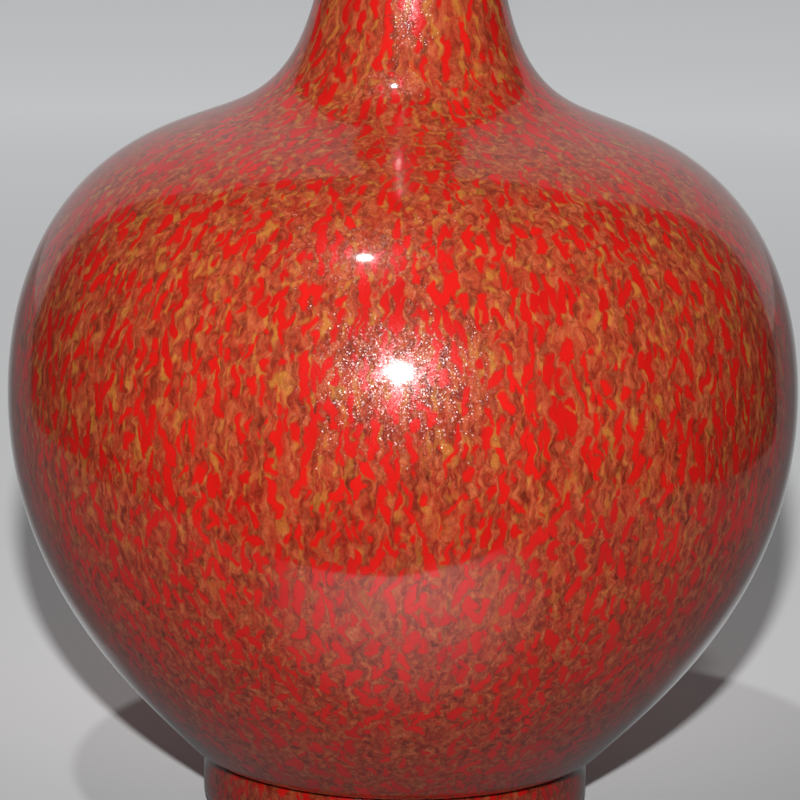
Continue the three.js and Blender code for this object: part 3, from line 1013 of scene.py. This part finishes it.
class VASE_OT_stage(VaseOperator):
    """Sets up the floor, the boards that the glaze mirrors, the lamps and the camera"""
    bl_idname = "vase.stage"
    bl_label = "Stage"

    def execute(self, context):
        _, _, _, stage = settings()
        floor = self.floor(stage)
        self.dark_boards()
        self.lamps(stage, floor)
        self.surroundings(stage)
        self.camera(stage)
        context.scene.view_settings.view_transform = "Standard"
        return self.made()

    def floor(self, stage):
        """A plain pale floor: grey for light that bounces off it, and paler where it is seen, by a painted
        glow.
        """
        material, tree = new_material("pale_floor")
        here = add(tree, "ShaderNodeTexCoord").outputs["Object"]
        apart = parts_of(here)
        to_side = math_of("ABSOLUTE", apart["X"])
        seen = seen_directly(tree)
        # Painted light: the floor glows, paler far from the vase's shadow, for the eye and reflections alone
        painted_floor_glow = self.painted_floor_glow(here, to_side, apart["Y"], stage)
        lit = join("ShaderNodeBsdfPrincipled", {
            "Base Color": mix(seen, stage.floor_bounce, stage.floor),
            "Roughness": 0.9, "Specular IOR Level": 0.1,
            "Emission Color": (0.97, 0.98, 1), "Emission Strength": times(seen, painted_floor_glow),
        })[0]
        # Painted reflection: reflections see the floor glow, brightest just in front of and behind the vase
        painted_floor_reflection = self.painted_floor_reflection(here, to_side, apart["Y"])
        mirrored = join("ShaderNodeEmission", {"Color": stage.floor, "Strength": painted_floor_reflection})[0]
        shown = join("ShaderNodeMixShader", {0: seen_in_glaze(tree), 1: lit, 2: mirrored})[0]
        bearings = [2 * math.pi * step / FLOOR_STEPS for step in range(FLOOR_STEPS, 0, -1)]
        rim = circle(FLOOR_RADIUS, 0, bearings)
        return sheet_object("floor", rim, [tuple(range(FLOOR_STEPS))], surfaced(material, shown))

    def painted_floor_glow(self, here, to_side, away, stage):
        """Painted light: how much the floor glows paler, least by the shadow, more far off, in front and to
        the sides.
        """
        from_shadow = vector_of("DISTANCE", here, SHADOW_MIDDLE)
        far_off = spread(from_shadow, 0.2, 1.2, LEAST_PALER, stage.pale)
        in_front = spread(away, -0.4, -0.06, PALER_ROUND_ABOUT, LEAST_PALER)
        beside = spread(to_side, 0.2, 0.5, LEAST_PALER, PALER_ROUND_ABOUT)
        return math_of("MAXIMUM", math_of("MAXIMUM", far_off, in_front), beside)

    def painted_floor_reflection(self, here, to_side, away):
        """Painted reflection: how brightly the floor glows in the glaze, most just in front of the vase and
        straight behind it.
        """
        in_front = spread(vector_of("DISTANCE", here, BRIGHT_PLACE), 0.02, 0.12, 1.9, 0.15)
        past_side = math_of("SUBTRACT", to_side, BELLY_REACH)
        aside = math_of("DIVIDE", past_side, math_of("MAXIMUM", away, 0.01))
        behind = times(spread(aside, 0.15, 0.45, 0.55, 0.17), spread(away, 0, BELLY_REACH, 0, 1))
        return math_of("MAXIMUM", in_front, behind)

    def dark_boards(self):
        """Dark boards for the glaze to mirror: all round but behind the vase, overhead and underfoot."""
        material, tree = new_material("dark_board")
        surfaced(material, add(tree, "ShaderNodeEmission", {"Color": BOARD_COLOUR}).outputs[0])
        closed = 2 * math.pi - 2 * BOARD_OPENING
        bearings = [BOARD_OPENING + closed * step / BOARD_STEPS for step in range(BOARD_STEPS + 1)]
        low = circle(BOARD_RADIUS, ABOVE_FLOOR, bearings)
        high = circle(BOARD_RADIUS, BOARD_HEIGHT, bearings)
        patch = [(x, y, ABOVE_FLOOR) for x, y in PALE_PATCH]
        last = len(patch) - 1
        around_patch = [low[round(i * BOARD_STEPS / last)] for i in range(last, -1, -1)]
        self.board("dark_wall", low + high, self.strip(BOARD_STEPS), material)
        self.board("dark_ground", patch + around_patch, self.strip(last), material)
        self.board("dark_ceiling", high, [tuple(range(len(high)))], material)

    def strip(self, count):
        """Four-sided faces between two rows of points that follow one another."""
        return [(i, i + 1, count + i + 2, count + i + 1) for i in range(count)]

    def board(self, name, points, faces, material):
        """A sheet that only reflections see, as a board outside the picture is."""
        sheet = sheet_object(name, points, faces, material)
        for ray in ("camera", "diffuse", "shadow", "transmission", "volume_scatter"):
            setattr(sheet, "visible_" + ray, False)

    def lamps(self, stage, floor):
        """A key lamp just above the camera, a small lamp overhead and a lamp for the back.

        A spot lamp beside the key lamp lights the floor in its stead, and leaves out the floor
        close under them, which would be white.
        """
        key = self.lamp("key_lamp", (-0.02, -1.03, 0.465), LAMP_AIM, 0.092, stage.key)
        self.link(key, floor, "EXCLUDE")
        spot = self.lamp("floor_lamp", (-0.005, -1.03, 0.474), SPOT_AIM, 0.028, stage.floor_key, "SPOT")
        spot.data.spot_size = SPOT_CONE
        spot.data.spot_blend = 1
        spot.visible_glossy = False
        self.link(spot, floor, "INCLUDE")
        self.lamp("ceiling_lamp", (-0.43, -0.98, 2.6), LAMP_AIM, 0.11, stage.ceiling)
        back = self.lamp("back_lamp", (-0.1, 1.2, 0.75), LAMP_AIM, 0.5, stage.back)
        back.visible_glossy = False
        self.link(back, floor, "EXCLUDE")

    def lamp(self, name, where, aim, width, power, kind="AREA"):
        """A round lamp that faces a point."""
        light = bpy.data.lights.new(name, kind)
        if kind == "AREA":
            light.shape = "DISK"
            light.size = width
        else:
            light.shadow_soft_size = width / 2
        light.energy = power
        lamp = new_object(name, light)
        lamp.location = where
        lamp.rotation_euler = (Vector(aim) - Vector(where)).to_track_quat("-Z", "Y").to_euler()
        return lamp

    def link(self, lamp, sheet, state):
        """Lights a sheet alone with a lamp, or all but that sheet."""
        linked = bpy.data.collections.new(lamp.name + "_link")
        linked.objects.link(sheet)
        linked.collection_objects[0].light_linking.link_state = state
        lamp.light_linking.receiver_collection = linked

    def surroundings(self, stage):
        """Even light from all round, and a pale backdrop, which looks dimmer in the glaze."""
        world = bpy.data.worlds.new("even_light")
        bpy.context.scene.world = world
        world.use_nodes = True
        tree = world.node_tree
        tree.nodes.clear()
        even = add(tree, "ShaderNodeBackground", {"Color": (1, 1, 1), "Strength": stage.soft}).outputs[0]
        strength = spread(seen_in_glaze(tree), 0, 1, BACKDROP, stage.mirrored)
        pale = join("ShaderNodeBackground", {"Color": stage.floor, "Strength": strength})[0]
        chosen = join("ShaderNodeMixShader", {0: seen_directly(tree), 1: even, 2: pale})[0]
        join("ShaderNodeOutputWorld", {"Surface": chosen})

    def camera(self, stage):
        """The photograph's view: a little from above, the vase's axis leaning a touch."""
        lens = bpy.data.cameras.new("camera")
        lens.angle = stage.picture_angle
        camera = new_object("camera", lens)
        looking = Vector((0, math.cos(stage.camera_tilt), -math.sin(stage.camera_tilt)))
        camera.location = Vector((CAMERA_ASIDE, 0, stage.target_height)) - looking * stage.camera_distance
        turn_to = looking.to_track_quat("-Z", "Y").to_matrix()
        camera.rotation_euler = (turn_to @ Matrix.Rotation(stage.camera_roll, 3, "Z")).to_euler()
        bpy.context.scene.camera = camera


class VASE_PT_panel(bpy.types.Panel):
    """Lists the vase's values and steps in the sidebar"""
    bl_idname = "VASE_PT_panel"
    bl_label = "Gallbladder vase"
    bl_space_type = "VIEW_3D"
    bl_region_type = "UI"
    bl_category = "Vase"

    def draw(self, context):
        for operator in OPERATORS:
            self.layout.operator(operator.bl_idname)
        for group in settings():
            box = self.layout.box()
            for name in group.__annotations__:
                box.prop(group, name)


GROUPS = {"vase_shape": VaseShape, "vase_walls": VaseWalls, "vase_glaze": VaseGlaze, "vase_stage": VaseStage}
OPERATORS = (VASE_OT_clay_sections, VASE_OT_slip_joints, VASE_OT_outer_glaze, VASE_OT_inner_glazes,
             VASE_OT_stage)


def register():
    """Registers the groups, operators and panel."""
    for name, group in GROUPS.items():
        bpy.utils.register_class(group)
        setattr(bpy.types.Scene, name, PointerProperty(type=group))
    for operator in OPERATORS:
        bpy.utils.register_class(operator)
    bpy.utils.register_class(VASE_PT_panel)


def unregister():
    """Takes them away again."""
    bpy.utils.unregister_class(VASE_PT_panel)
    for operator in reversed(OPERATORS):
        bpy.utils.unregister_class(operator)
    for name, group in GROUPS.items():
        delattr(bpy.types.Scene, name)
        bpy.utils.unregister_class(group)


def main():
    register()
    bpy.ops.vase.stage()
    bpy.ops.vase.clay_sections()
    bpy.ops.vase.slip_joints()
    bpy.ops.vase.outer_glaze()
    bpy.ops.vase.inner_glazes()
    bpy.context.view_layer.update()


if __name__ == "__main__":
    main()
